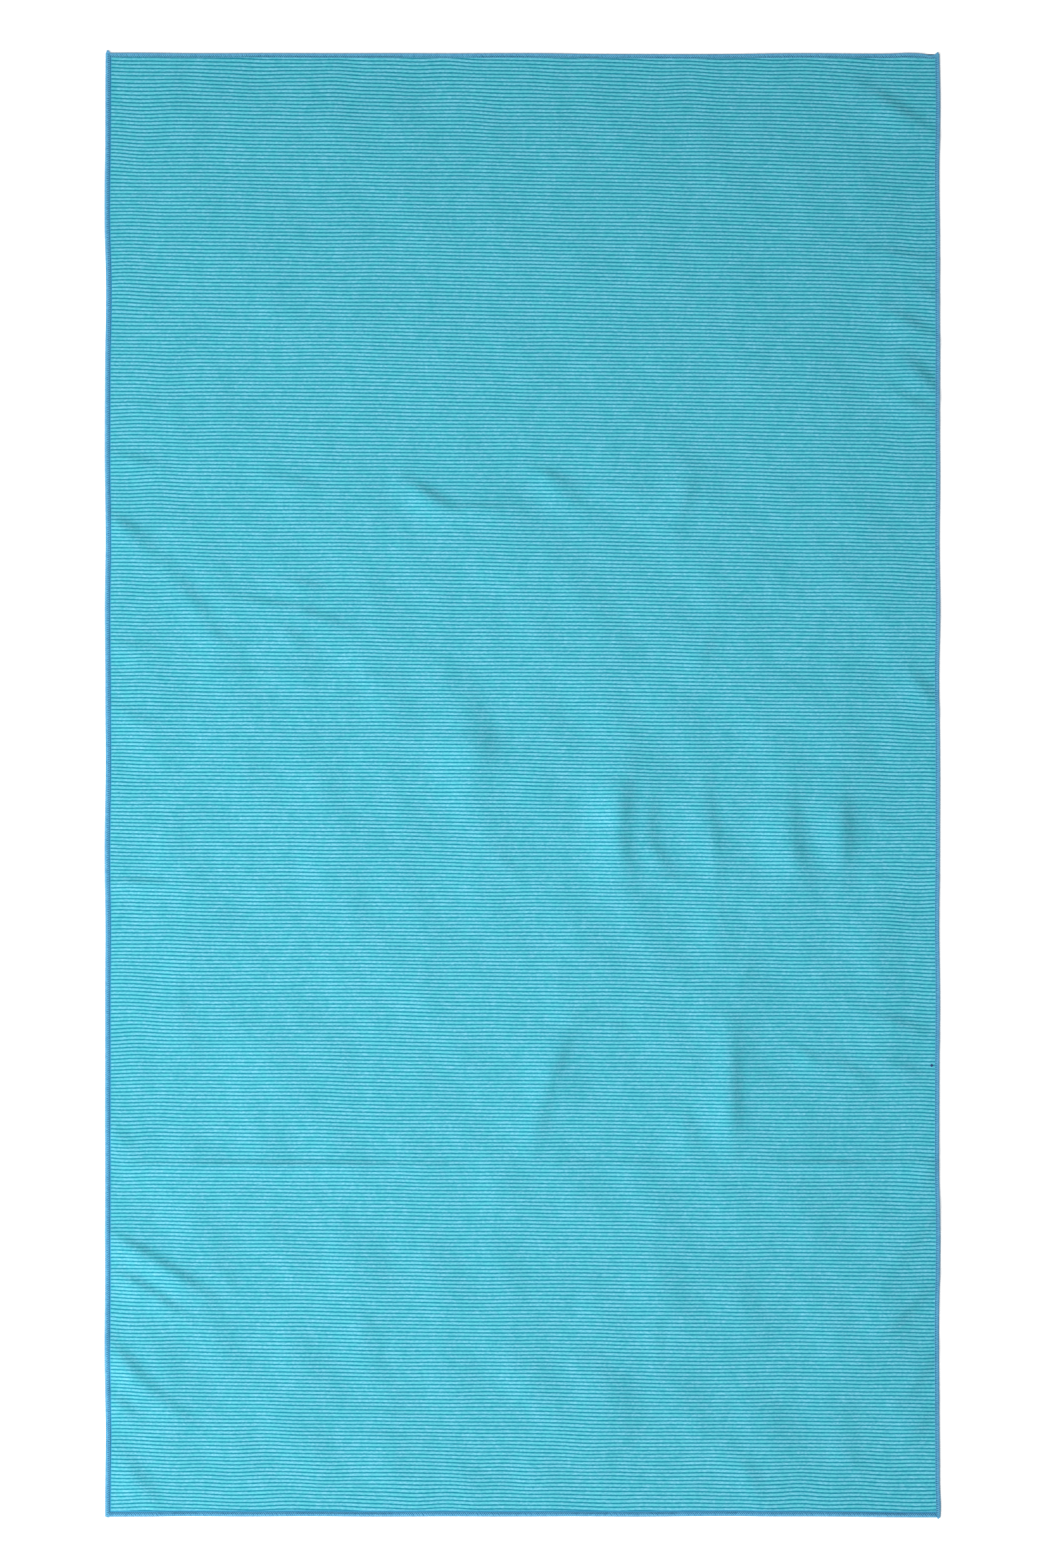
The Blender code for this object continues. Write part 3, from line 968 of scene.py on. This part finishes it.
def thread_material(name, colour, shade_colour, sheen=YARN_SHEEN):
    """Textured polyester yarn: fine filaments, with its twist seen as slanting bands."""
    material, tree, shader = start_material(
        name, gloss=MATT_GLOSS, sheen=sheen, sheen_roughness=YARN_SHEEN_ROUGHNESS
    )
    place = object_place(tree)
    around, along = tile_place(tree)
    twists = math_node(tree, "MULTIPLY", along, TWISTS_PER_TILE)
    slant = math_node(tree, "MULTIPLY", around, TWIST_SLANT)
    strand = math_node(tree, "PINGPONG", math_node(tree, "ADD", twists, slant), 0.5)
    filaments = noise(tree, place, *FILAMENTS)
    patches = noise(tree, place, *YARN_PATCHES)
    mixed = math_node(tree, "ADD", math_node(tree, "MULTIPLY", strand, STRAND_SHARE), filaments)
    lit = remap(tree, math_node(tree, "ADD", mixed, patches), *YARN_RANGE)
    tree.links.new(mix_colour(tree, lit, shade_colour, colour), shader.inputs["Base Color"])
    roughness = remap(tree, filaments, *NEARLY_ALL, *YARN_ROUGHNESS)
    tree.links.new(roughness, shader.inputs["Roughness"])
    add_bump(tree, shader, mixed, THREAD_BUMP)
    return material


def floor_material():
    """Matt white studio paper with a faint grain, lit a little from behind."""
    material, tree, shader = start_material(
        "studio_paper", roughness=PAPER_ROUGHNESS, gloss=MATT_GLOSS, glow_colour=WHITE, glow=PAPER_GLOW
    )
    grain = remap(tree, noise(tree, object_place(tree), *PAPER_GRAIN), 0.0, 1.0)
    tint = mix_colour(tree, grain, PAPER_COLOUR, PAPER_GRAIN_COLOUR)
    tree.links.new(tint, shader.inputs["Base Color"])
    return material


# ---------------------------------------------------------------- putting the towel together


def stand_in(piece, node):
    """Puts a finished piece on the frame, in place of its plain solid."""
    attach(piece, "root")
    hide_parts(node)
    return piece


def make_towel():
    looper = thread_material("looper_yarn", LOOPER_COLOUR, LOOPER_SHADE_COLOUR)
    needle = thread_material("needle_thread", NEEDLE_COLOUR, NEEDLE_SHADE_COLOUR)
    tail = thread_material("tail_yarn", TAIL_COLOUR, TAIL_SHADE_COLOUR)
    tack = thread_material("tack_thread", TACK_COLOUR, TACK_SHADE_COLOUR, 0.0)

    cloth = stand_in(make_cloth(), "cloth_panel")
    for word, side in SIDES.items():
        for kind, underside in (("upper", False), ("lower", True)):
            piece = make_looper(side, f"{word}_{kind}_looper_stitches", underside, looper)
            stand_in(piece, f"{word}_{kind}_looper_thread")
        piece = make_needle_run(side, f"{word}_needle_stitches", needle)
        stand_in(piece, f"{word}_needle_thread")
    for corner, flare in TAIL_FLARES.items():
        node = f"{corner}_thread_tail"
        piece = make_tail(node, f"{corner}_chained_end", flare, tail)
        stand_in(piece, node)
    piece = make_tack("right_edge_thread_tack", "dark_tack", tack)
    stand_in(piece, "right_edge_thread_tack")


# ---------------------------------------------------------------- studio

FLOOR_SIZE = 60.0
CAMERA_LENS = 100.0
CAMERA_SENSOR = 36.0
VIEW_HEIGHT = 1.500  # metres of floor from the top to the bottom of the picture
VIEW_RISE = 1.1 * MM  # how far the camera stands above the towel's middle in the picture
KEY_PLACE = (-2.8, -2.0, 2.8)
KEY_SIZE = 1.9
KEY_POWER = 325.0
FILL_PLACE = (-0.08, 0.06, 1.2)
FILL_SIZE = 0.6
FILL_POWER = 6.5
SKY_STRENGTH = 0.43


def make_floor():
    mesh = bpy.data.meshes.new("studio_floor")
    half = FLOOR_SIZE / 2
    corners = [(-half, -half, 0.0), (half, -half, 0.0), (half, half, 0.0), (-half, half, 0.0)]
    mesh.from_pydata(corners, [], [(0, 1, 2, 3)])
    add_object("studio_floor", mesh, floor_material())


def make_area_light(name, position, size, power):
    light = bpy.data.lights.new(name, "AREA")
    light.shape = "SQUARE"
    light.size = size
    light.energy = power
    lamp = bpy.data.objects.new(name, light)
    lamp.location = position
    aim = -np.array(position)
    distance = np.linalg.norm(aim)
    heading = math.atan2(-aim[0], aim[1])
    lamp.rotation_euler = (math.acos(-aim[2] / distance), 0.0, heading)
    lamp.visible_camera = False
    bpy.context.scene.collection.objects.link(lamp)


def make_studio():
    make_floor()
    make_area_light("key_light", KEY_PLACE, KEY_SIZE, KEY_POWER)
    make_area_light("fill_light", FILL_PLACE, FILL_SIZE, FILL_POWER)
    world = bpy.data.worlds.new("studio_sky")
    world.use_nodes = True
    sky = world.node_tree.nodes["Background"]
    sky.inputs["Color"].default_value = WHITE
    sky.inputs["Strength"].default_value = SKY_STRENGTH
    bpy.context.scene.world = world
    bpy.context.scene.view_settings.view_transform = "Standard"


def make_camera():
    camera = bpy.data.cameras.new("overhead_camera")
    camera.lens = CAMERA_LENS
    camera.sensor_width = CAMERA_SENSOR
    view = bpy.data.objects.new("overhead_camera", camera)
    view.location = (0.0, VIEW_RISE, CLOTH_TOP + VIEW_HEIGHT * CAMERA_LENS / CAMERA_SENSOR)
    bpy.context.scene.collection.objects.link(view)
    bpy.context.scene.camera = view


make_towel()
make_studio()
make_camera()

bpy.context.view_layer.update()
